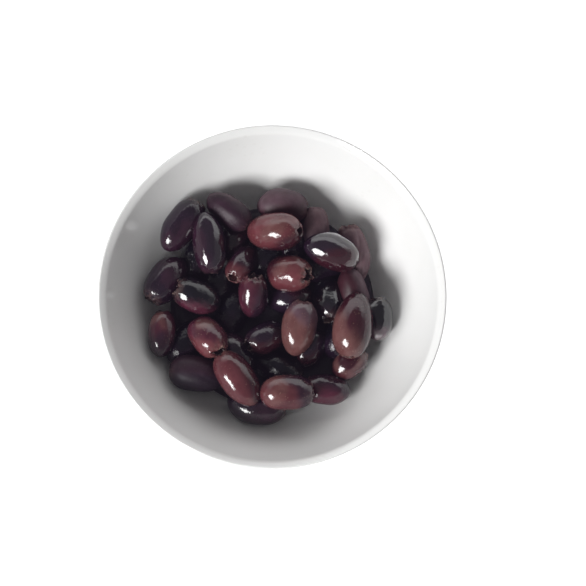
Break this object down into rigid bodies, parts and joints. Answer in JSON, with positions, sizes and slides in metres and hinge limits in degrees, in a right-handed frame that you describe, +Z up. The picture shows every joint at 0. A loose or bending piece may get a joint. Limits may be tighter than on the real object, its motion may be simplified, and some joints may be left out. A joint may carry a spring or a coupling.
{
  "type": "dish of olives",
  "caption": "Round white glazed bowl on a low foot ring, holding a loose heap of glossy dark pitted olives well below its rim.",
  "frame": {"origin": "centre of the foot ring's underside, on the bowl's axis", "axes": "+Z up along the bowl's axis; +Y away from the viewer at the table, +X to the viewer's right"},
  "size_m": [0.1548, 0.1548, 0.0628],
  "materials": {
    "white_glaze": "smooth glossy white glaze, plain, with a rounded lip",
    "olive_skin": "wet glossy olive skin, from brownish red to nearly black plum, with pale specks and torn pit holes"
  },
  "bodies": {
    "root": {"bowl": "white_glaze", "olives": "olive_skin"}
  },
  "joints": []
}
